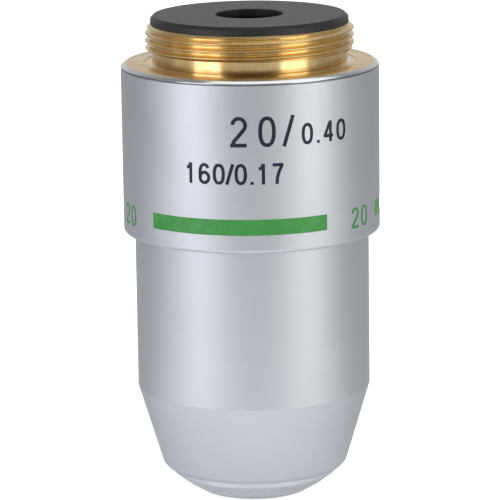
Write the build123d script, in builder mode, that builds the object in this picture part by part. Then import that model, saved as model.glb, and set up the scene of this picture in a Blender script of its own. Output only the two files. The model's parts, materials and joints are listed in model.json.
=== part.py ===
"""Microscope objective, 20x / 0.40, for a 160 mm tube and a 45 mm parfocal distance.

The origin is on the optical axis, in the plane of the mounting shoulder. +Z points
along the axis to the eyepiece, so the thread is above the origin and the front lens
is at the bottom. The engraved side faces -Y. Sizes are in millimetres.

There are two bodies: the housing, which screws into the nosepiece, and the lens
barrel, which slides up inside it against a spring when the nose touches a slide.
"""

import os
from dataclasses import dataclass
from math import sqrt

from build123d import *

os.makedirs("parts", exist_ok=True)

# Clearances
fit = 0.02          # radial, between pieces that are screwed or pushed together
run = 0.05          # radial, between the housing and the barrel that slides in it
stop_gap = 0.05     # between the barrel's step and the housing's stop, at rest

# Mount body: thread, shoulder flange and guide tube. All radii start from the thread
thread_r = 10.12        # major radius of the thread, 0.8 inch nominal, 36 to the inch
thread_top = 3.73       # top of the brass above the shoulder
thread_lead = 0.3       # lead-in chamfer
neck_cut = 0.62         # how far the plain neck lies below the thread's crests
neck_height = 1.25
undercut_depth = 0.35   # groove turned into the shoulder at the foot of the neck
undercut_gap = 0.12     # how far the groove runs out past the thread
mount_wall = 1.82       # from the thread's crests to the bore
spring_seat_width = 0.7
spring_seat_depth = 1.2  # below the shoulder
tube_wall = 1.6         # guide tube that hangs below the flange
tube_below_sleeve = 1.45
flange_width = 1.9      # from the guide tube to the flange's rim
flange_height = 0.32
flange_chamfer = 0.1
seam_height = 0.12      # shadow gap between the flange and the sleeve
seam_depth = 0.3

# Rear stop ring
stop_ring_inset = 0.52  # from the thread's crests to the ring's edge
stop_ring_height = 0.85
stop_ring_chamfer = 0.3
stop_ring_neck = 1.4    # length of the part that screws into the mount body
stop_ring_wall = 1.1
rear_hole_r = 3.25
rear_hole_edge = 0.15

# Engraved sleeve
sleeve_overhang = 0.03  # past the flange
sleeve_length = 16.11
sleeve_edge = 0.4       # rounding of the lower edge
sleeve_top_edge = 0.08

# Colour bands
band_lift = 3.34        # from the sleeve's lower end to the top of the bands
band_height = 1.53
band_depth = 0.14
band_arc = 83.3         # degrees of one recess
band_count = 3
band_middle = -90.0     # direction of the middle of the first recess
paint_below = 0.04      # how far the paint lies below the sleeve's surface

# Lower barrel
spigot_wall = 0.4
spigot_length = 8.55    # how far the lower barrel reaches up inside the sleeve
barrel_inset = 1.09     # step from the sleeve in to the barrel
barrel_length = 15.48   # straight part below the sleeve
cone_inset = 2.33       # how far the long cone runs in
cone_length = 7.77
mouth_bevel_width = 0.3
mouth_bevel_height = 0.34
mouth_edge = 0.15       # chamfer inside the mouth
knee_rounding = 0.4
shim_height = 0.5
bore_relief = 0.4       # the bore between the two guides is this much wider
lower_guide = 2.4       # length of the guide above the stop
stop_lift = 3.74        # from the mouth to the face that the lens barrel rests on

# Lens barrel
stop_width = 0.9        # step from the guide bore in to the nose
nose_reach = 0.64       # straight part of the nose below the mouth
nose_bevel_width = 1.25
nose_bevel_height = 0.97
spring_room = 0.5       # between the bore of the mount body and the barrel's tube
barrel_tube_wall = 0.7
lens_seat_width = 0.7   # shoulder that the stack of cells stands on
lens_seat_lift = 2.15   # from the nose's face up to that shoulder
spring_step_lift = 1.4  # from the guide screw up to the step that the spring presses on
upper_land = 5.3        # lengths of the two sliding lands
lower_land = 3.0
land_relief = 0.25      # the barrel is this much thinner between its lands
travel = 1.8            # how far the nose retracts

# Guide screw and its slot
guide_screw_lift = 2.4  # above the end of the guide tube
guide_screw_r = 1.0
guide_dog_r = 0.6
guide_slot_depth = 0.8
dog_gap = 0.3           # between the dog and the floor of the slot
guide_slot_spare = 0.3  # slot left below the screw when the nose is fully retracted
driver_slot_width = 0.3
driver_slot_depth = 0.35
screw_inset = 0.05      # how far the head lies below the tube's surface

# Return spring
wire_r = 0.42
active_turns = 5
end_turn_gap = 0.02     # between the wires of the closed turn at each end
spring_gap = 0.15       # between the wire and the barrel's tube

# Front cell and front lens
cell_inset = 0.13       # from the nose's face in to the edge of the front cell
cell_bevel_width = 1.28
cell_height = 0.9       # that shows below the nose
cell_flange_edge = 0.08
cell_tip_edge = 0.06
front_hole_r = 2.0
front_web = 0.25
front_flare = 0.5       # how much wider the hole is at the front face
front_hole_land = 0.1   # straight part of the hole, next to the lens
front_neck_gap = 0.05   # between the front cell's neck and the lower cell
front_neck_wall = 1.4   # at the top of the neck, where the light cone leaves it
front_lens_r = 2.6
front_lens_curve = -3.0
front_lens_height = 2.6
front_pocket = 1.5      # straight wall of the lens's pocket

# Stack of cells
spacer_1_height = 3.4
spacer_2_height = 4.6
spacer_wall = 1.5
stop_disc_height = 0.3
stop_disc_r = 3.4
seat_width = 0.5        # ledge that carries the front surface of a lens
cell_lip = 0.4          # height of the rim that is turned over the lens
lip_width = 0.3
retaining_height = 1.8
retaining_wall = 1.6
spanner_slot_width = 1.0
spanner_slot_depth = 0.8

# Centring screws
centring_count = 3
centring_start = 30.0   # direction of the first screw, degrees
centring_screw_r = 0.6
centring_inset = 0.25   # how far the screws lie below the barrel's surface
centring_groove = 0.2   # depth of the groove round the cell that they press into
socket_r = 0.32
socket_depth = 0.6

# Radii, from the thread
neck_r = thread_r - neck_cut
top_bore_r = thread_r - mount_wall
guide_r = top_bore_r + spring_seat_width
tube_r = guide_r + tube_wall
flange_r = tube_r + flange_width
sleeve_r = flange_r + sleeve_overhang
stop_ring_r = thread_r - stop_ring_inset
ring_neck_r = top_bore_r - fit
spigot_r = tube_r + spigot_wall
barrel_r = sleeve_r - barrel_inset
knee_r = barrel_r - cone_inset
mouth_r = knee_r - mouth_bevel_width
relief_bore_r = guide_r + bore_relief
band_floor_r = sleeve_r - band_depth

# Radii of the lens barrel and its stack
land_r = guide_r - run
waist_r = land_r - land_relief
slot_floor_r = land_r - guide_slot_depth
nose_r = guide_r - stop_width
mouth_bore_r = nose_r + run
nose_face_r = nose_r - nose_bevel_width
barrel_tube_r = top_bore_r - spring_room
barrel_bore_r = barrel_tube_r - barrel_tube_wall
front_bore_r = barrel_bore_r - lens_seat_width
cell_r = barrel_bore_r - fit
cell_flange_r = nose_face_r - cell_inset
cell_tip_r = cell_flange_r - cell_bevel_width
light_cone_r = front_bore_r - front_neck_wall

# Heights, from the shoulder
ring_top = thread_top + stop_ring_height
sleeve_top = -(flange_height + seam_height)
sleeve_end = sleeve_top - sleeve_length
band_top = sleeve_end + band_lift
spigot_top = sleeve_end + spigot_length
cone_top = sleeve_end - barrel_length
knee_z = cone_top - cone_length
mouth_z = knee_z - mouth_bevel_height
stop_z = mouth_z + stop_lift
tube_end = sleeve_end - tube_below_sleeve
ledge_z = tube_end - shim_height
guide_screw_z = tube_end + guide_screw_lift
slot_end_z = guide_screw_z - travel - guide_slot_spare
spring_seat = -spring_seat_depth
spring_step = guide_screw_z + spring_step_lift
barrel_rear = spring_seat - travel
barrel_step_z = stop_z + stop_gap
nose_edge_z = mouth_z - nose_reach
nose_face_z = nose_edge_z - nose_bevel_height
lens_seat = nose_face_z + lens_seat_lift
cell_tip_z = nose_face_z - cell_height
front_lens_z = cell_tip_z + front_web

band_directions = [band_middle + 360 / band_count * i for i in range(band_count)]
screw_plane = Plane(origin=(0, 0, guide_screw_z), x_dir=(1, 0, 0), z_dir=(0, 1, 0))


def sag(curve, r):
    """Height of a spherical surface at radius r above its point on the axis."""
    rise = abs(curve) - sqrt(curve**2 - r**2)
    return rise if curve > 0 else -rise


def rims(builder, r):
    """Circular edges of one radius, from the lowest to the highest."""
    circles = builder.edges().filter_by(GeomType.CIRCLE)
    return circles.filter_by(lambda edge: abs(edge.radius - r) < fit / 2).sort_by(Axis.Z)


def turned(points):
    """Half section of a turned piece: points of (radius, height), closed by itself."""
    with BuildSketch(Plane.XZ) as section:
        with BuildLine():
            Polyline(points, close=True)
        make_face()
    return section.sketch


def lens_section(edge_r, front_z, rear_z, front_curve=None, rear_curve=None):
    """Half section of a lens. A side with no curve is flat."""

    def height(z, curve, r):
        return z + sag(curve, r) if curve else z

    with BuildSketch(Plane.XZ) as section:
        with BuildLine():
            for z, curve in ((front_z, front_curve), (rear_z, rear_curve)):
                if curve:
                    middle = (edge_r / 2, height(z, curve, edge_r / 2))
                    ThreePointArc((0, z), middle, (edge_r, height(z, curve, edge_r)))
                else:
                    Line((0, z), (edge_r, z))
            Line((0, front_z), (0, rear_z))
            Line(
                (edge_r, height(front_z, front_curve, edge_r)),
                (edge_r, height(rear_z, rear_curve, edge_r)),
            )
        make_face()
    return section.sketch


@dataclass
class Doublet:
    """A cemented pair, with the crown towards the specimen and the flint above it.

    Curves and thicknesses are in edge radii, so the lenses scale with the barrel. A curve
    is positive where the surface bulges down.
    """

    wall: float     # of the cell round the lenses, mm
    web: float      # from the cell's lower face up to the seat, mm
    front: float
    cement: float
    crown: float
    flint: float

    def __post_init__(self):
        self.edge_r = cell_r - self.wall
        self.seat_r = self.edge_r - seat_width
        self.front_curve = self.front * self.edge_r
        self.cement_curve = self.cement * self.edge_r
        lens = (self.crown + self.flint) * self.edge_r - sag(self.front_curve, self.seat_r)
        self.cell_height = self.web + lens + cell_lip


lower_pair = Doublet(wall=2.28, web=1.6, front=1.9, cement=-2.1, crown=0.6, flint=0.28)
middle_pair = Doublet(wall=2.08, web=1.4, front=2.2, cement=-2.2, crown=0.56, flint=0.26)
rear_pair = Doublet(wall=1.88, web=1.3, front=3.1, cement=-2.7, crown=0.46, flint=0.27)

# Foot of each piece in the stack, from the front seat upwards
lower_base = lens_seat
spacer_1_base = lower_base + lower_pair.cell_height
middle_base = spacer_1_base + spacer_1_height
stop_disc_base = middle_base + middle_pair.cell_height
spacer_2_base = stop_disc_base + stop_disc_height
rear_base = spacer_2_base + spacer_2_height
retaining_base = rear_base + rear_pair.cell_height
centring_z = middle_base + middle_pair.cell_height / 2


# Mount body, with the thread left as a plain cylinder of its major size
with BuildPart() as mount_body:
    mount_section = turned(
        [
            (top_bore_r, thread_top),
            (thread_r - thread_lead, thread_top),
            (thread_r, thread_top - thread_lead),
            (thread_r, neck_height),
            (neck_r, neck_height),
            (neck_r, -undercut_depth),
            (thread_r + undercut_gap, -undercut_depth),
            (thread_r + undercut_gap, 0),
            (flange_r - flange_chamfer, 0),
            (flange_r, -flange_chamfer),
            (flange_r, -flange_height),
            (flange_r - seam_depth, -flange_height),
            (flange_r - seam_depth, sleeve_top),
            (tube_r, sleeve_top),
            (tube_r, tube_end),
            (guide_r, tube_end),
            (guide_r, spring_seat),
            (top_bore_r, spring_seat),
        ]
    )
    revolve(mount_section, axis=Axis.Z)
    with BuildSketch(screw_plane.offset(guide_r / 2)):
        Circle(guide_screw_r + fit)
    extrude(amount=tube_r, mode=Mode.SUBTRACT)

mount_body.part.label = "mount_body"
export_step(mount_body.part, "parts/mount_body.step")


# Rear stop ring, screwed into the top of the mount body
with BuildPart() as rear_stop_ring:
    stop_ring_section = turned(
        [
            (rear_hole_r, ring_top),
            (stop_ring_r - stop_ring_chamfer, ring_top),
            (stop_ring_r, ring_top - stop_ring_chamfer),
            (stop_ring_r, thread_top),
            (ring_neck_r, thread_top),
            (ring_neck_r, thread_top - stop_ring_neck),
            (ring_neck_r - stop_ring_wall, thread_top - stop_ring_neck),
            (ring_neck_r - stop_ring_wall, thread_top),
            (rear_hole_r, thread_top),
        ]
    )
    revolve(stop_ring_section, axis=Axis.Z)
    fillet(rims(rear_stop_ring, rear_hole_r), rear_hole_edge)

rear_stop_ring.part.label = "rear_stop_ring"
export_step(rear_stop_ring.part, "parts/rear_stop_ring.step")


def band_sector(direction, inner_r, outer_r):
    """Ring sector at the height of the colour bands, centred on a direction in degrees."""
    with BuildPart() as sector:
        with BuildSketch(Plane.XZ.rotated((0, 0, direction - band_arc / 2))):
            with Locations(((inner_r + outer_r) / 2, band_top)):
                Rectangle(outer_r - inner_r, band_height, align=(Align.CENTER, Align.MAX))
        revolve(axis=Axis.Z, revolution_arc=band_arc)
    return sector.part


# Engraved sleeve, snug on the guide tube and, lower down, on the barrel's spigot
with BuildPart() as engraved_sleeve:
    sleeve_section = turned(
        [
            (tube_r + fit, sleeve_top),
            (sleeve_r, sleeve_top),
            (sleeve_r, sleeve_end),
            (spigot_r + fit, sleeve_end),
            (spigot_r + fit, spigot_top),
            (tube_r + fit, spigot_top),
        ]
    )
    revolve(sleeve_section, axis=Axis.Z)
    chamfer(rims(engraved_sleeve, sleeve_r)[-1], sleeve_top_edge)
    fillet(rims(engraved_sleeve, sleeve_r)[0], sleeve_edge)
    for direction in band_directions:
        add(band_sector(direction, band_floor_r, sleeve_r + band_depth), mode=Mode.SUBTRACT)

engraved_sleeve.part.label = "engraved_sleeve"
export_step(engraved_sleeve.part, "parts/engraved_sleeve.step")


# Paint in the three recesses
with BuildPart() as band_paint:
    for direction in band_directions:
        add(band_sector(direction, band_floor_r, sleeve_r - paint_below))

band_paint.part.label = "band_paint"
export_step(band_paint.part, "parts/band_paint.step")


# Lower barrel: spigot inside the sleeve, straight barrel, long cone and mouth
with BuildPart() as lower_barrel:
    lower_section = turned(
        [
            (tube_r + fit, spigot_top),
            (spigot_r, spigot_top),
            (spigot_r, sleeve_end),
            (barrel_r, sleeve_end),
            (barrel_r, cone_top),
            (knee_r, knee_z),
            (mouth_r, mouth_z),
            (mouth_bore_r + mouth_edge, mouth_z),
            (mouth_bore_r, mouth_z + mouth_edge),
            (mouth_bore_r, stop_z),
            (guide_r, stop_z),
            (guide_r, stop_z + lower_guide),
            (relief_bore_r, stop_z + lower_guide + bore_relief),
            (relief_bore_r, ledge_z),
            (tube_r + fit, ledge_z),
        ]
    )
    revolve(lower_section, axis=Axis.Z)
    fillet(rims(lower_barrel, knee_r), knee_rounding)

lower_barrel.part.label = "lower_barrel"
export_step(lower_barrel.part, "parts/lower_barrel.step")


# Shim between the guide tube and the lower barrel, which sets the parfocal distance
with BuildPart() as parfocal_shim:
    with BuildSketch(Plane.XY.offset(ledge_z)):
        Circle(tube_r)
        Circle(relief_bore_r, mode=Mode.SUBTRACT)
    extrude(amount=shim_height)

parfocal_shim.part.label = "parfocal_shim"
export_step(parfocal_shim.part, "parts/parfocal_shim.step")


# Guide screw: threaded body in the guide tube, with a dog that runs in the slot
with BuildPart() as guide_screw:
    with BuildSketch(screw_plane.offset(guide_r + run)):
        Circle(guide_screw_r)
    extrude(amount=tube_r - guide_r - run - screw_inset)
    with BuildSketch(screw_plane.offset(slot_floor_r + dog_gap)):
        Circle(guide_dog_r)
    extrude(amount=guide_r + run - slot_floor_r - dog_gap)
    with BuildSketch(screw_plane.offset(tube_r - screw_inset)):
        Rectangle(2 * guide_screw_r, driver_slot_width)
    extrude(amount=-driver_slot_depth, mode=Mode.SUBTRACT)

guide_screw.part.label = "guide_screw"
export_step(guide_screw.part, "parts/guide_screw.step")


# Return spring, with a closed turn at each end
spring_r = barrel_tube_r + spring_gap + wire_r
end_pitch = 2 * wire_r + end_turn_gap
active_height = spring_seat - spring_step - 2 * wire_r - 2 * end_pitch
with BuildPart() as return_spring:
    with BuildLine() as wire_path:
        turn_z = spring_step + wire_r
        for pitch, height in (
            (end_pitch, end_pitch),
            (active_height / active_turns, active_height),
            (end_pitch, end_pitch),
        ):
            Helix(pitch, height, spring_r, center=(0, 0, turn_z))
            turn_z += height
    with BuildSketch(Plane(origin=wire_path.line @ 0, z_dir=wire_path.line % 0)):
        Circle(wire_r)
    sweep(is_frenet=True)

return_spring.part.label = "return_spring"
export_step(return_spring.part, "parts/return_spring.step")


# Lens barrel: tube inside the spring, two sliding lands, stop step and bevelled nose
with BuildPart() as lens_barrel:
    barrel_section = turned(
        [
            (barrel_bore_r, barrel_rear),
            (barrel_tube_r, barrel_rear),
            (barrel_tube_r, spring_step),
            (land_r, spring_step),
            (land_r, spring_step - upper_land),
            (waist_r, spring_step - upper_land - land_relief),
            (waist_r, barrel_step_z + lower_land + land_relief),
            (land_r, barrel_step_z + lower_land),
            (land_r, barrel_step_z),
            (nose_r, barrel_step_z),
            (nose_r, nose_edge_z),
            (nose_face_r, nose_face_z),
            (front_bore_r, nose_face_z),
            (front_bore_r, lens_seat),
            (barrel_bore_r, lens_seat),
        ]
    )
    revolve(barrel_section, axis=Axis.Z)
    with BuildSketch(
        Plane(origin=(0, slot_floor_r, slot_end_z), x_dir=(1, 0, 0), z_dir=(0, -1, 0))
    ):
        Circle(guide_dog_r + run)
        Rectangle(
            2 * (guide_dog_r + run), spring_step - slot_end_z, align=(Align.CENTER, Align.MIN)
        )
    extrude(amount=-2 * guide_slot_depth, mode=Mode.SUBTRACT)
    with Locations((0, 0, centring_z)):
        with PolarLocations(barrel_bore_r / 2, centring_count, start_angle=centring_start):
            Cylinder(
                centring_screw_r + fit,
                barrel_bore_r,
                rotation=(0, 90, 0),
                align=(Align.CENTER, Align.CENTER, Align.MIN),
                mode=Mode.SUBTRACT,
            )

lens_barrel.part.label = "lens_barrel"
export_step(lens_barrel.part, "parts/lens_barrel.step")


# Centring screws, pressed into the groove of the middle cell
groove_r = cell_r - centring_groove
screw_top_r = waist_r - centring_inset
with BuildPart() as centring_screws:
    with Locations((0, 0, centring_z)):
        with PolarLocations(groove_r, centring_count, start_angle=centring_start):
            Cylinder(
                centring_screw_r,
                screw_top_r - groove_r,
                rotation=(0, 90, 0),
                align=(Align.CENTER, Align.CENTER, Align.MIN),
            )
        with PolarLocations(screw_top_r, centring_count, start_angle=centring_start):
            Cylinder(
                socket_r,
                socket_depth,
                rotation=(0, 90, 0),
                align=(Align.CENTER, Align.CENTER, Align.MAX),
                mode=Mode.SUBTRACT,
            )

centring_screws.part.label = "centring_screws"
export_step(centring_screws.part, "parts/centring_screws.step")


# Front cell: conical tip with the lens's hole, and a neck inside the lens barrel
with BuildPart() as front_cell:
    neck_top = lens_seat - front_neck_gap
    front_section = turned(
        [
            (front_hole_r + front_flare, cell_tip_z),
            (front_hole_r, front_lens_z - front_hole_land),
            (front_hole_r, front_lens_z),
            (front_lens_r + fit, front_lens_z),
            (front_lens_r + fit, front_lens_z + front_pocket),
            (light_cone_r, neck_top),
            (front_bore_r - fit, neck_top),
            (front_bore_r - fit, nose_face_z),
            (cell_flange_r, nose_face_z),
            (cell_flange_r, nose_face_z - cell_flange_edge),
            (cell_tip_r, cell_tip_z + cell_tip_edge),
            (cell_tip_r - cell_tip_edge, cell_tip_z),
        ]
    )
    revolve(front_section, axis=Axis.Z)

front_cell.part.label = "front_cell"
export_step(front_cell.part, "parts/front_cell.step")


# Front lens, flat towards the specimen
with BuildPart() as front_lens:
    front_rear_z = front_lens_z + front_lens_height
    revolve(
        lens_section(front_lens_r, front_lens_z, front_rear_z, rear_curve=front_lens_curve),
        axis=Axis.Z,
    )

front_lens.part.label = "front_lens"
export_step(front_lens.part, "parts/front_lens.step")


# Three cemented doublets, each in its own cell
for place, pair, base in (
    ("lower", lower_pair, lower_base),
    ("middle", middle_pair, middle_base),
    ("rear", rear_pair, rear_base),
):
    seat_z = base + pair.web
    cell_top = base + pair.cell_height
    lip_z = cell_top - cell_lip
    front_z = seat_z - sag(pair.front_curve, pair.seat_r)
    cement_z = front_z + pair.crown * pair.edge_r

    with BuildPart() as cell:
        cell_section = turned(
            [
                (pair.seat_r, base),
                (cell_r, base),
                (cell_r, cell_top),
                (pair.edge_r - lip_width, cell_top),
                (pair.edge_r - lip_width, lip_z),
                (pair.edge_r + fit, lip_z),
                (pair.edge_r + fit, seat_z),
                (pair.seat_r, seat_z),
            ]
        )
        revolve(cell_section, axis=Axis.Z)
        if pair is middle_pair:
            with BuildSketch(Plane.XZ):
                with Locations((cell_r, centring_z)):
                    Rectangle(2 * centring_groove, 2 * centring_screw_r + 2 * centring_groove)
            revolve(axis=Axis.Z, mode=Mode.SUBTRACT)
    cell.part.label = f"{place}_cell"
    export_step(cell.part, f"parts/{place}_cell.step")

    with BuildPart() as crown:
        crown_section = lens_section(
            pair.edge_r, front_z, cement_z, pair.front_curve, pair.cement_curve
        )
        revolve(crown_section, axis=Axis.Z)
    crown.part.label = f"{place}_crown_lens"
    export_step(crown.part, f"parts/{place}_crown_lens.step")

    with BuildPart() as flint:
        flint_section = lens_section(pair.edge_r, cement_z, lip_z, pair.cement_curve)
        revolve(flint_section, axis=Axis.Z)
    flint.part.label = f"{place}_flint_lens"
    export_step(flint.part, f"parts/{place}_flint_lens.step")


# Spacer tubes and the aperture stop between the cells
for name, base, height, hole_r in (
    ("lower_spacer", spacer_1_base, spacer_1_height, cell_r - spacer_wall),
    ("aperture_stop", stop_disc_base, stop_disc_height, stop_disc_r),
    ("upper_spacer", spacer_2_base, spacer_2_height, cell_r - spacer_wall),
):
    with BuildPart() as ring:
        with BuildSketch(Plane.XY.offset(base)):
            Circle(cell_r)
            Circle(hole_r, mode=Mode.SUBTRACT)
        extrude(amount=height)
    ring.part.label = name
    export_step(ring.part, f"parts/{name}.step")


# Retaining ring on top of the stack, with two slots for a spanner
with BuildPart() as retaining_ring:
    with BuildSketch(Plane.XY.offset(retaining_base)):
        Circle(cell_r)
        Circle(cell_r - retaining_wall, mode=Mode.SUBTRACT)
    extrude(amount=retaining_height)
    with BuildSketch(Plane.XY.offset(retaining_base + retaining_height)):
        Rectangle(2 * barrel_bore_r, spanner_slot_width)
    extrude(amount=-spanner_slot_depth, mode=Mode.SUBTRACT)

retaining_ring.part.label = "retaining_ring"
export_step(retaining_ring.part, "parts/retaining_ring.step")
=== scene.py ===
"""Looks of the microscope objective: materials, mounting thread, numerals, studio, camera.

Metres, in the row frame: the origin is on the optical axis in the plane of the mounting
shoulder, +Z points to the eyepiece and the engraved side faces -Y.
"""

import json
from math import copysign, cos, pi, radians, sin, sqrt, tan

import bmesh
import bpy
from mathutils import Matrix, Vector


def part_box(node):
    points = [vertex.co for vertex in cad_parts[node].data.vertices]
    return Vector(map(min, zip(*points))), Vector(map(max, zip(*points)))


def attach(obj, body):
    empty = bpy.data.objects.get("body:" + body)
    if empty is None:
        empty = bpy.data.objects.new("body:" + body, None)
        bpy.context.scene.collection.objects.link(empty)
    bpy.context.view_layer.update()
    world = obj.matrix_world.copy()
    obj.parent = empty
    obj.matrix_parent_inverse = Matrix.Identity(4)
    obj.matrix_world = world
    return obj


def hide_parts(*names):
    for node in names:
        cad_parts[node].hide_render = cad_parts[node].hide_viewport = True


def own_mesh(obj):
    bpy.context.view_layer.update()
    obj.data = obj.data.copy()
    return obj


MM = 0.001
same_place = 0.0002 * MM        # points nearer than this are joined

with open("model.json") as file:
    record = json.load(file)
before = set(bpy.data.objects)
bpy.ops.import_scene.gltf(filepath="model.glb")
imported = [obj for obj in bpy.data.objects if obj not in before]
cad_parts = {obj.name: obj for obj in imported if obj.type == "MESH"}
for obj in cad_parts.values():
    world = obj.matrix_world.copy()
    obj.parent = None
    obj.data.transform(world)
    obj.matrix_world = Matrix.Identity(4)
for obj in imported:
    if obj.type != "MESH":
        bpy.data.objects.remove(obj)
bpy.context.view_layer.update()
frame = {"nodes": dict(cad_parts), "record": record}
nodes = frame["nodes"]


# Mount body. It has a Whitworth thread, a shallow relief at the neck's foot and a bevelled
# rim, which the solid has only in plainer form. The other sizes are the solid's
thread_pitch = 25.4 / 36 * MM
flank_angle = radians(27.5)
root_rounding = 0.137327 * thread_pitch
rows_per_turn = 20
columns = 256
thread_r = 10.12 * MM
thread_lead = 0.455 * MM        # the lead-in chamfer runs down to the root
thread_phase = 0.2              # turns
neck_r = 9.5 * MM
neck_height = 1.25 * MM
relief_depth = 0.05 * MM
relief_gap = 0.12 * MM
flange_height = 0.32 * MM
flange_edge_width = 0.4 * MM
flange_edge_height = 0.3 * MM
seam_depth = 0.3 * MM
plated_r = 12.08 * MM           # the flange's rim is plated like the sleeve
plating_blur = 0.03 * MM
plate_colour = (0.58, 0.59, 0.61)
shoulder_r = 10.42 * MM         # from here out the shoulder has its full roughness
shoulder_roughness = 0.2        # more than the neck's
tube_r = 10.6 * MM
guide_r = 9.0 * MM
top_bore_r = 8.3 * MM
spring_seat = -1.2 * MM
sleeve_low, sleeve_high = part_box("engraved_sleeve")
sleeve_r = sleeve_high.x
sleeve_top = sleeve_high.z
sleeve_edge = 0.4 * MM          # rounding of the lower edge

# Numerals, cut into the sleeve and filled with paint. Their strokes are in digit heights
numeral_depth = 0.05 * MM
layer_step = 0.002 * MM         # strokes that overlap are cut to different depths
stroke_step = 0.08              # longest piece of a stroke
stroke = 0.125                  # width
bold_stroke = 0.16
digit_width = 0.57
digit_cell = 0.775
narrow_cell = 0.39              # for a point and a slash
band_gaps = (-27.5, -151.8, 89.2)   # directions of the gaps between the bands, in degrees
numeral_lines = (
    # text, digit height, start and baseline in mm, tracking in mm, direction, stroke, paint
    ("20/", 2.93, -0.71, -6.30, 0.36, -90, stroke, "numeral_paint"),
    ("0.40", 2.00, 6.25, -6.25, 0.0, -90, bold_stroke, "numeral_paint"),
    ("160/0.17", 1.97, -5.17, -9.85, -0.10, -90, bold_stroke, "numeral_paint"),
) + tuple(
    ("20", 2.05, -1.55, -15.15, -0.03, direction, stroke, "green_enamel")
    for direction in band_gaps
)

# Lamps: elevation, distance, width and height. They face the middle of the object
middle_height = -19 * MM
side_lamp = (radians(12), 0.22, 0.13, 0.15)
top_lamp = (radians(70), 0.30, 0.20, 0.20)
side_radiance = 2.1
top_radiance = 1.2

# Room: its light, and what metal and glass mirror of it
room_light = 0.40
front_room = 0.07
side_room = 0.35
back_room = 0.70

# Floor: each is the level near the object, the level far off, and the place of the two
floor_size = 1.2
floor_seen = (0.70, 1.0, 20 * MM, 120 * MM)
floor_mirrored = (0.66, 0.20, 20 * MM, 160 * MM)
# painted contact shadow: the floor's glow that metal mirrors is dimmer near the nose
floor_painted_contact_shadow = (0.8, 1.0, 6 * MM, 12 * MM)
# painted shade: the floor's glow that metal mirrors fades out behind the object
floor_painted_shade_behind = (1.0, 0.0, -25 * MM, 15 * MM)     # from the camera's side to behind the object

# Camera, measured from the photo
camera_lens = 230.5             # mm, for a sensor 36 mm wide
camera_azimuth = radians(7.05)  # from the engraved side towards +X
camera_pitch = radians(12.226)
camera_roll = radians(-0.778)
camera_distance = 307.19 * MM   # from the axis
camera_height = 47.75 * MM      # above the shoulder
camera_offset = 0.229 * MM      # to the left of the axis


# Meshes


def link(obj):
    bpy.context.scene.collection.objects.link(obj)
    return obj


def new_object(name, points, faces):
    mesh = bpy.data.meshes.new(name)
    mesh.from_pydata(points, [], faces)
    mesh.validate()
    return link(bpy.data.objects.new(name, mesh))


def copy_of_node(name, node):
    """A new object with a copy of a CAD node's mesh and its finish."""
    return link(bpy.data.objects.new(name, nodes[node].data.copy()))


def lathe(name, columns_of_rings, smooth_angle):
    """Closed mesh from columns of points, one column for each step round the axis. The
    last ring joins the first, and the last column is the first one again. Edges sharper
    than smooth_angle degrees stay sharp."""
    points = [point for column in columns_of_rings for point in column]
    rings = len(columns_of_rings[0])
    faces = []
    for start in range(0, len(points) - rings, rings):
        for i in range(rings):
            low, high = start + i, start + (i + 1) % rings
            faces.append((low, low + rings, high + rings, high))
    obj = new_object(name, points, faces)
    mesh = obj.data
    work = bmesh.new()
    work.from_mesh(mesh)
    bmesh.ops.remove_doubles(work, verts=work.verts, dist=same_place)
    bmesh.ops.dissolve_degenerate(work, edges=work.edges, dist=same_place / 2)
    bmesh.ops.recalc_face_normals(work, faces=work.faces)
    work.to_mesh(mesh)
    work.free()
    mesh.polygons.foreach_set("use_smooth", [True] * len(mesh.polygons))
    mesh.set_sharp_from_angle(angle=radians(smooth_angle))
    return obj


def turned_point(radius, angle, height):
    return (radius * cos(angle), radius * sin(angle), height)


# Mount body with its real thread


def thread_depth(turns):
    """How far a Whitworth thread lies below its crest, a number of turns from the crest."""
    along = abs((turns + 0.5) % 1 - 0.5) * thread_pitch
    arc = root_rounding * cos(flank_angle)

    def rounded(distance):
        return root_rounding - sqrt(root_rounding**2 - distance**2)

    depth = 0.640327 * thread_pitch
    if along < arc:
        return rounded(along)
    if along > thread_pitch / 2 - arc:
        return depth - rounded(thread_pitch / 2 - along)
    return rounded(arc) + (along - arc) / tan(flank_angle)


def threaded_mount():
    """The CAD mount body, with the plain cylinder of its thread cut to the real form."""
    low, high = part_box("mount_body")
    flange_r, tube_end, thread_top = high.x, low.z, high.z
    plain_profile = [
        (neck_r, neck_height),
        (neck_r, -relief_depth),
        (thread_r + relief_gap, -relief_depth),
        (thread_r + relief_gap, 0),
        (flange_r - flange_edge_width, 0),
        (flange_r, -flange_edge_height),
        (flange_r, -flange_height),
        (flange_r - seam_depth, -flange_height),
        (flange_r - seam_depth, sleeve_top),
        (tube_r, sleeve_top),
        (tube_r, tube_end),
        (guide_r, tube_end),
        (guide_r, spring_seat),
        (top_bore_r, spring_seat),
        (top_bore_r, thread_top),
    ]
    step = thread_pitch / rows_per_turn
    rows = int((thread_top - neck_height) / step) + rows_per_turn + 2
    rings = []
    for column in range(columns + 1):
        turn = column / columns
        angle = 2 * pi * turn
        ring = []
        for row in range(rows, -1, -1):
            helix = neck_height - thread_pitch + row * step + turn * thread_pitch
            height = min(max(helix, neck_height), thread_top)
            turns = (height - neck_height) / thread_pitch - turn + thread_phase
            radius = thread_r - thread_depth(turns)
            radius = min(radius, thread_r - thread_lead + thread_top - height)
            ring.append(turned_point(radius, angle, height))
        ring += [turned_point(r, angle, z) for r, z in plain_profile]
        rings.append(ring)
    mount = lathe("threaded_mount", rings, smooth_angle=50)
    mount.data.materials.append(finishes["brass"])
    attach(mount, "housing")
    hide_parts("mount_body")


def pressed_spring():
    """A copy of the CAD spring, carried by the housing."""
    spring = copy_of_node("pressed_spring", "return_spring")
    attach(spring, "housing")
    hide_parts("return_spring")
    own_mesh(spring)


# Numerals


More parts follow.
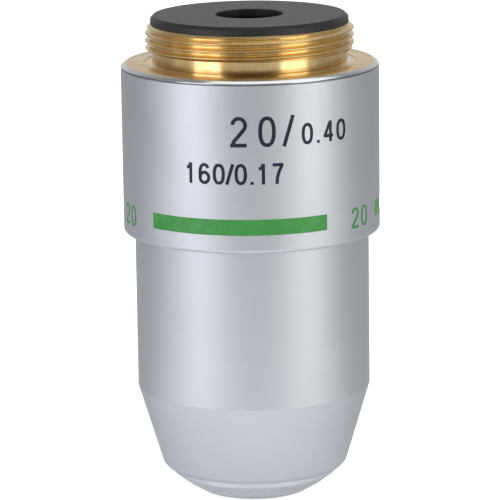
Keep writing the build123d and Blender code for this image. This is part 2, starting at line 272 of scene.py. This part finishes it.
def arc(centre, radii, start, end, power=2.0, steps=28):
    """Points on an ellipse, or on a squarer curve with a higher power. Angles in degrees."""
    points = []
    for step in range(steps + 1):
        angle = radians(start + (end - start) * step / steps)
        offsets = [
            radius * copysign(abs(side) ** (2 / power), side)
            for radius, side in zip(radii, (cos(angle), sin(angle)))
        ]
        points.append((centre[0] + offsets[0], centre[1] + offsets[1]))
    return points


def zero_curve(start, end):
    return arc((0.285, 0.5), (0.22, 0.435), start, end, power=2.4)


# Centre lines of each digit's strokes. A line that ends where it starts is a closed one
digits = {
    "0": [zero_curve(0, 360)],
    "1": [[(0.30, 0), (0.30, 1)], [(0.09, 0.76), (0.19, 0.785), (0.26, 0.86), (0.285, 1)]],
    "2": [
        arc((0.28, 0.715), (0.205, 0.22), 175, -35) + [(0.28, 0.38), (0.12, 0.20), (0.075, 0.06)],
        [(0, 0.065), (0.53, 0.065)],
    ],
    "4": [
        [(0.40, 0), (0.40, 1)],
        [(0.02, 0.29), (0.56, 0.29)],
        [(0.37, 0.95), (0.06, 0.27)],
    ],
    "6": [arc((0.285, 0.315), (0.22, 0.25), 0, 360), zero_curve(35, 205)],
    "7": [
        [(0.02, 0.935), (0.55, 0.935)],
        [(0.49, 0.92), (0.34, 0.62), (0.255, 0.33), (0.225, 0)],
    ],
    ".": [[(0.285, 0), (0.285, 0.14)]],
    "/": [[(0.13, 0), (0.44, 1)]],
}


def even_steps(line):
    """The line with points added, so that no piece is longer than stroke_step."""
    points = [Vector(line[0])]
    for end in line[1:]:
        start, end = points[-1], Vector(end)
        pieces = int((end - start).length / stroke_step) + 1
        points += [start.lerp(end, piece / pieces) for piece in range(1, pieces + 1)]
    return points


def add_stroke(work, line, width, to_sleeve, depth):
    """Adds the solid of one stroke to a bmesh. to_sleeve takes a flat point to the sleeve."""
    points = even_steps(line)
    closed = (points[0] - points[-1]).length < 0.001
    if closed:
        points.pop()
    count = len(points)
    sections = []
    for index, point in enumerate(points):
        if closed:
            before, after = points[index - 1], points[(index + 1) % count]
        else:
            before, after = points[max(index - 1, 0)], points[min(index + 1, count - 1)]
        side = (after - before).normalized().orthogonal() * width / 2
        corners = [(point + side, 1), (point - side, 1), (point - side, -1), (point + side, -1)]
        sections.append(
            [work.verts.new(to_sleeve(flat, level * depth)) for flat, level in corners]
        )
    for index in range(count if closed else count - 1):
        first, second = sections[index], sections[(index + 1) % count]
        for corner in range(4):
            following = (corner + 1) % 4
            work.faces.new((first[corner], first[following], second[following], second[corner]))
    if not closed:
        work.faces.new(sections[0])
        work.faces.new(sections[-1])


def numeral_cutters(text, height, start, baseline, tracking, direction, width, paint):
    """Solids to cut for a line of numerals, one for each layer of strokes. Lengths in mm."""
    cutters = []
    for layer in range(max(len(digits[character]) for character in text)):
        work = bmesh.new()
        left = start
        for character in text:
            cell = (narrow_cell if character in "./" else digit_cell) * height
            glyph_left = left + (cell - digit_width * height) / 2

            def to_sleeve(flat, out):
                across = (glyph_left + flat.x * height) * MM
                angle = radians(direction) + across / sleeve_r
                return turned_point(sleeve_r + out, angle, (baseline + flat.y * height) * MM)

            if layer < len(digits[character]):
                depth = numeral_depth + layer * layer_step
                add_stroke(work, digits[character][layer], width, to_sleeve, depth)
            left += cell + tracking
        bmesh.ops.recalc_face_normals(work, faces=work.faces)
        mesh = bpy.data.meshes.new("numerals")
        work.to_mesh(mesh)
        work.free()
        mesh.materials.append(finishes[paint])
        cutters.append(link(bpy.data.objects.new("numerals", mesh)))
    return cutters


def carve(obj, cutter):
    """Cuts a solid out of obj for good. The cut faces take the cutter's material."""
    modifier = obj.modifiers.new("carve", "BOOLEAN")
    modifier.operation = "DIFFERENCE"
    modifier.solver = "EXACT"
    modifier.material_mode = "TRANSFER"
    modifier.object = cutter
    shape = obj.evaluated_get(bpy.context.evaluated_depsgraph_get())
    mesh = bpy.data.meshes.new_from_object(shape)
    obj.modifiers.remove(modifier)
    obj.data = mesh
    bpy.data.objects.remove(cutter)


def shade_as_turned(mesh, edge_r, edge_height):
    """Shades turned faces smoothly round the axis. Faces that were cut stay flat. The
    lower edge is rounded about a circle of radius edge_r at edge_height."""
    up = Vector((0, 0, 1))
    normals = []
    for face in mesh.polygons:
        outward = Vector((*face.center.xy, 0)).normalized()
        turned = abs(face.normal.dot(up.cross(outward))) < 0.08
        rounded = turned and face.center.z < edge_height and 0.05 < -face.normal.z < 0.999
        for index in face.vertices:
            point = mesh.vertices[index].co
            outward = Vector((*point.xy, 0)).normalized()
            if rounded:
                normal = outward * (point.xy.length - edge_r) + up * (point.z - edge_height)
            elif turned:
                level = face.normal.z
                sign = copysign(1, face.normal.dot(outward))
                normal = outward * sign * sqrt(max(1 - level * level, 0)) + up * level
            else:
                normal = face.normal
            normals.append(normal.normalized())
    mesh.polygons.foreach_set("use_smooth", [True] * len(mesh.polygons))
    mesh.normals_split_custom_set(normals)


def engraved_sleeve():
    """The CAD sleeve with the numerals cut into it and filled with paint."""
    sleeve = copy_of_node("numbered_sleeve", "engraved_sleeve")
    for line in numeral_lines:
        for cutter in numeral_cutters(*line):
            carve(sleeve, cutter)
    shade_as_turned(sleeve.data, sleeve_r - sleeve_edge, sleeve_low.z + sleeve_edge)
    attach(sleeve, "housing")
    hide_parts("engraved_sleeve")


# Materials


class Finish:
    """A procedural material, built round one Principled shader. Object coordinates are in
    metres from the row's origin."""

    def __init__(self, name, **constants):
        self.material = bpy.data.materials.new(name)
        self.material.use_nodes = True
        self.tree = self.material.node_tree
        self.shader = self.tree.nodes["Principled BSDF"]
        for socket, value in constants.items():
            self.shader.inputs[socket.replace("_", " ")].default_value = value
        self.place = self.add("ShaderNodeTexCoord").outputs["Object"]

    def add(self, kind, **settings):
        node = self.tree.nodes.new(kind)
        for name, value in settings.items():
            setattr(node, name, value)
        return node

    def join(self, output, target):
        self.tree.links.new(output, target)

    def math(self, operation, first, second=None):
        node = self.add("ShaderNodeMath", operation=operation)
        for socket, value in zip(node.inputs, (first, second)):
            if isinstance(value, (int, float)):
                socket.default_value = value
            elif value is not None:
                self.join(value, socket)
        return node.outputs[0]

    def radius_and_height(self):
        split = self.add("ShaderNodeSeparateXYZ")
        self.join(self.place, split.inputs[0])
        x, y, z = split.outputs
        square = self.math("ADD", self.math("MULTIPLY", x, x), self.math("MULTIPLY", y, y))
        return self.math("SQRT", square), z

    def round_place(self):
        """Coordinates that don't change round the axis: (radius, 0, height)."""
        radius, height = self.radius_and_height()
        joined = self.add("ShaderNodeCombineXYZ")
        self.join(radius, joined.inputs[0])
        self.join(height, joined.inputs[2])
        return joined.outputs[0]

    def noise(self, size, detail=2.0, place=None, roughness=0.5):
        """Noise with features of this size in metres."""
        node = self.add("ShaderNodeTexNoise")
        node.inputs["Scale"].default_value = 1 / size
        node.inputs["Detail"].default_value = detail
        node.inputs["Roughness"].default_value = roughness
        self.join(place or self.place, node.inputs["Vector"])
        return node.outputs["Fac"]

    def spread(self, value, low, high, from_low=0.3, from_high=0.7):
        node = self.add("ShaderNodeMapRange")
        for socket, number in zip(node.inputs[1:5], (from_low, from_high, low, high)):
            socket.default_value = number
        self.join(value, node.inputs[0])
        return node.outputs[0]

    def blend(self, factor, first, second):
        """Colour between two colours or sockets."""
        node = self.add("ShaderNodeMix", data_type="RGBA")
        self.join(factor, node.inputs["Factor"])
        for socket, value in zip(node.inputs[6:8], (first, second)):
            if isinstance(value, tuple):
                socket.default_value = (*value, 1)
            else:
                self.join(value, socket)
        return node.outputs[2]

    def set(self, socket, value):
        self.join(value, self.shader.inputs[socket])

    def relief(self, *layers):
        """Bumps on top of each other, each (height socket, height in metres)."""
        normal = None
        for height, distance in layers:
            node = self.add("ShaderNodeBump")
            node.inputs["Distance"].default_value = distance
            self.join(height, node.inputs["Height"])
            if normal:
                self.join(normal, node.inputs["Normal"])
            normal = node.outputs[0]
        self.set("Normal", normal)


def satin_chrome():
    finish = Finish("satin_chrome", Metallic=1.0)
    cloud = finish.noise(6 * MM, detail=3)
    grain = finish.noise(0.06 * MM, detail=3)
    lines = finish.noise(0.05 * MM, detail=2, place=finish.round_place())
    finish.set("Base Color", finish.blend(cloud, (0.565, 0.595, 0.64), (0.635, 0.66, 0.705)))
    finish.set("Roughness", finish.spread(grain, 0.43, 0.52))
    finish.relief((grain, 0.0022 * MM), (lines, 0.0008 * MM))
    return finish.material


def polished_chrome():
    finish = Finish("polished_chrome", Metallic=1.0)
    lines = finish.noise(0.03 * MM, detail=3, place=finish.round_place())
    smear = finish.noise(2.5 * MM, detail=4)
    finish.set("Base Color", finish.blend(smear, (0.58, 0.60, 0.64), (0.64, 0.66, 0.70)))
    finish.set("Roughness", finish.spread(smear, 0.16, 0.26))
    finish.relief((lines, 0.0005 * MM))
    return finish.material


def brass(name="brass", dark=(0.66, 0.45, 0.18), light=(0.86, 0.65, 0.32)):
    finish = Finish(name, Metallic=1.0, Coat_Weight=0.4, Coat_Roughness=0.12)
    lines = finish.noise(0.03 * MM, detail=3, place=finish.round_place())
    tarnish = finish.noise(1.8 * MM, detail=6, roughness=0.6)
    radius = finish.radius_and_height()[0]
    colour = finish.blend(finish.spread(tarnish, 0, 1), dark, light)
    plating = finish.spread(radius, 0, 1, plated_r - plating_blur, plated_r + plating_blur)
    finish.set("Base Color", finish.blend(plating, colour, plate_colour))
    shoulder = finish.spread(radius, 0, shoulder_roughness, neck_r, shoulder_r)
    rough = finish.math("ADD", finish.spread(tarnish, 0.22, 0.12), shoulder)
    polish = finish.math("MULTIPLY", plating, shoulder_roughness)
    finish.set("Roughness", finish.math("SUBTRACT", rough, polish))
    finish.relief((lines, 0.0006 * MM))
    return finish.material


def black_anodised():
    finish = Finish("black_anodised", Specular_IOR_Level=0.42)
    lines = finish.noise(0.04 * MM, detail=2, place=finish.round_place())
    grain = finish.noise(0.12 * MM, detail=5, roughness=0.7)
    marks = finish.spread(grain, 0, 1)
    finish.set("Base Color", finish.blend(marks, (0.006, 0.006, 0.0065), (0.030, 0.031, 0.032)))
    finish.set("Roughness", finish.spread(grain, 0.36, 0.52))
    finish.relief((lines, 0.003 * MM), (grain, 0.008 * MM))
    return finish.material


def blackened_brass():
    return brass("blackened_brass", (0.03, 0.026, 0.02), (0.07, 0.058, 0.04))


def enamel(name, deep, pale, rough=(0.30, 0.45)):
    finish = Finish(name)
    cloud = finish.noise(1.2 * MM, detail=4)
    grain = finish.noise(0.10 * MM, detail=3)
    finish.set("Base Color", finish.blend(finish.spread(cloud, 0, 1), deep, pale))
    finish.set("Roughness", finish.spread(grain, *rough))
    finish.relief((grain, 0.003 * MM))
    return finish.material


def green_enamel():
    return enamel("green_enamel", (0.045, 0.32, 0.055), (0.065, 0.40, 0.08))


def numeral_paint():
    return enamel("numeral_paint", (0.004, 0.004, 0.022), (0.009, 0.009, 0.036), (0.5, 0.65))


def black_paint():
    return enamel("black_paint", (0.008, 0.008, 0.008), (0.018, 0.018, 0.018), (0.6, 0.8))


def steel(name="steel", rough=(0.22, 0.34)):
    finish = Finish(name, Metallic=1.0)
    lines = finish.noise(0.04 * MM, detail=3)
    finish.set("Base Color", finish.blend(lines, (0.42, 0.42, 0.43), (0.55, 0.55, 0.56)))
    finish.set("Roughness", finish.spread(lines, *rough))
    finish.relief((lines, 0.001 * MM))
    return finish.material


def spring_steel():
    return steel("spring_steel", (0.28, 0.42))


def glass(name, deep, pale, ior):
    """Coated lens glass."""
    finish = Finish(name, IOR=ior, Transmission_Weight=1.0, Coat_Weight=0.2)
    cloud = finish.noise(3 * MM, detail=3)
    finish.set("Base Color", finish.blend(cloud, deep, pale))
    finish.set("Roughness", finish.spread(cloud, 0.0, 0.02))
    return finish.material


def crown_glass():
    return glass("crown_glass", (0.90, 0.95, 0.97), (0.95, 0.98, 0.99), 1.52)


def flint_glass():
    return glass("flint_glass", (0.94, 0.95, 0.88), (0.97, 0.97, 0.93), 1.62)


finishes = {
    make.__name__: make()
    for make in (
        satin_chrome,
        polished_chrome,
        brass,
        black_anodised,
        blackened_brass,
        green_enamel,
        numeral_paint,
        black_paint,
        steel,
        spring_steel,
        crown_glass,
        flint_glass,
    )
}


def dress_cad_nodes():
    """Gives each CAD node the finish of its material slot in the record."""
    for part in frame["record"]["subparts"]:
        mesh = nodes[part["node"]].data
        mesh.materials.clear()
        mesh.materials.append(finishes[part["material_slot"]])


# Studio


def softbox(name, azimuth, lamp, radiance, colour=(1, 1, 1)):
    """Area light that faces the middle of the object. Azimuth counts from the camera."""
    elevation, distance, width, height = lamp
    around = azimuth + camera_azimuth - pi / 2
    away = Vector((cos(around) * cos(elevation), sin(around) * cos(elevation), sin(elevation)))
    data = bpy.data.lights.new(name, "AREA")
    data.shape = "RECTANGLE"
    data.size, data.size_y = width, height
    data.energy = radiance * pi * width * height
    data.color = colour
    lamp = link(bpy.data.objects.new(name, data))
    lamp.location = Vector((0, 0, middle_height)) + away * distance
    lamp.rotation_euler = away.to_track_quat("Z", "Y").to_euler()
    lamp.visible_camera = False


def studio_lamps():
    softbox("left_lamp", radians(-50), side_lamp, side_radiance, (1, 0.98, 1.03))
    softbox("right_lamp", radians(52), side_lamp, side_radiance * 0.9, (1, 1, 0.93))
    softbox("top_lamp", radians(160), top_lamp, top_radiance)


def studio_world():
    """White for the camera. What metal and glass mirror is darkest on the camera's side and
    brightest straight behind the object."""
    world = bpy.data.worlds.new("studio")
    world.use_nodes = True
    bpy.context.scene.world = world
    tree = world.node_tree
    background = tree.nodes["Background"]
    background.inputs["Color"].default_value = (1, 1, 1, 1)

    def add(kind, **settings):
        node = tree.nodes.new(kind)
        for name, value in settings.items():
            setattr(node, name, value)
        return node

    def ramp(value, *levels):
        node = add("ShaderNodeMapRange")
        for socket, level in zip(node.inputs[1:5], levels):
            socket.default_value = level
        tree.links.new(value, node.inputs[0])
        return node.outputs[0]

    def pair(operation, first, second):
        node = add("ShaderNodeMath", operation=operation)
        tree.links.new(first, node.inputs[0])
        tree.links.new(second, node.inputs[1])
        return node.outputs[0]

    rays = add("ShaderNodeLightPath").outputs
    facing = add("ShaderNodeVectorMath", operation="DOT_PRODUCT")
    tree.links.new(add("ShaderNodeTexCoord").outputs["Generated"], facing.inputs[0])
    facing.inputs[1].default_value = (-sin(camera_azimuth), cos(camera_azimuth), 0)
    mirrored = pair(
        "ADD",
        ramp(facing.outputs["Value"], -0.95, -0.3, front_room, side_room),
        ramp(facing.outputs["Value"], 0.6, 0.97, 0, back_room - side_room),
    )
    room = add("ShaderNodeMix", data_type="FLOAT")
    tree.links.new(
        pair("MAXIMUM", rays["Is Glossy Ray"], rays["Is Transmission Ray"]),
        room.inputs["Factor"],
    )
    room.inputs["A"].default_value = room_light
    tree.links.new(mirrored, room.inputs["B"])
    seen = add("ShaderNodeMix", data_type="FLOAT")
    tree.links.new(rays["Is Camera Ray"], seen.inputs["Factor"])
    tree.links.new(room.outputs["Result"], seen.inputs["A"])
    seen.inputs["B"].default_value = 1.0
    tree.links.new(seen.outputs["Result"], background.inputs["Strength"])


def studio_floor():
    """Pale floor under the nose. Its own light makes up for what the lamps leave out. Its glow,
    as metal and glass mirror it, has painted shade: a painted contact shadow near the nose and
    painted shade behind the object.
    """
    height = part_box("front_cell")[0].z
    corners = ((-1, -1), (1, -1), (1, 1), (-1, 1))
    points = [(x * floor_size, y * floor_size, height) for x, y in corners]
    floor = new_object("floor", points, [(0, 1, 2, 3)])
    finish = Finish("floor", Roughness=0.6)
    cloud = finish.noise(40 * MM)
    finish.set("Base Color", finish.blend(cloud, (0.84, 0.84, 0.845), (0.86, 0.86, 0.86)))
    rays = finish.add("ShaderNodeLightPath").outputs
    distance = finish.radius_and_height()[0]
    split = finish.add("ShaderNodeSeparateXYZ")
    finish.join(finish.place, split.inputs[0])
    # painted shade behind the object, in the floor's glow that metal mirrors
    behind = finish.spread(split.outputs["Y"], *floor_painted_shade_behind)
    # painted contact shadow near the nose, in the floor's glow that metal mirrors
    painted_contact_shadow = finish.spread(distance, *floor_painted_contact_shadow)
    seen = finish.math("MULTIPLY", rays["Is Camera Ray"], finish.spread(distance, *floor_seen))
    mirrored = finish.math(
        "MULTIPLY",
        finish.math("MAXIMUM", rays["Is Glossy Ray"], rays["Is Transmission Ray"]),
        finish.math(
            "MULTIPLY",
            finish.math("MULTIPLY", behind, painted_contact_shadow),
            finish.spread(distance, *floor_mirrored),
        ),
    )
    finish.shader.inputs["Emission Color"].default_value = (1, 1, 1, 1)
    finish.set("Emission Strength", finish.math("ADD", seen, mirrored))
    floor.data.materials.append(finish.material)


def photo_camera():
    right = Vector((cos(camera_azimuth), sin(camera_azimuth), 0))
    back = Vector((sin(camera_azimuth), -cos(camera_azimuth), 0))
    lens_axis = back * cos(camera_pitch) + Vector((0, 0, sin(camera_pitch)))
    turn = Matrix((right, lens_axis.cross(right), lens_axis)).transposed()
    turn = turn @ Matrix.Rotation(camera_roll, 3, "Z")
    place = back * camera_distance - right * camera_offset + Vector((0, 0, camera_height))
    data = bpy.data.cameras.new("camera")
    data.lens = camera_lens
    data.sensor_width = 36
    data.clip_start = 0.01
    camera = link(bpy.data.objects.new("camera", data))
    camera.matrix_world = Matrix.Translation(place) @ turn.to_4x4()
    bpy.context.scene.camera = camera


dress_cad_nodes()
threaded_mount()
engraved_sleeve()
pressed_spring()
studio_world()
studio_floor()
studio_lamps()
photo_camera()
bpy.context.scene.view_settings.view_transform = "Standard"
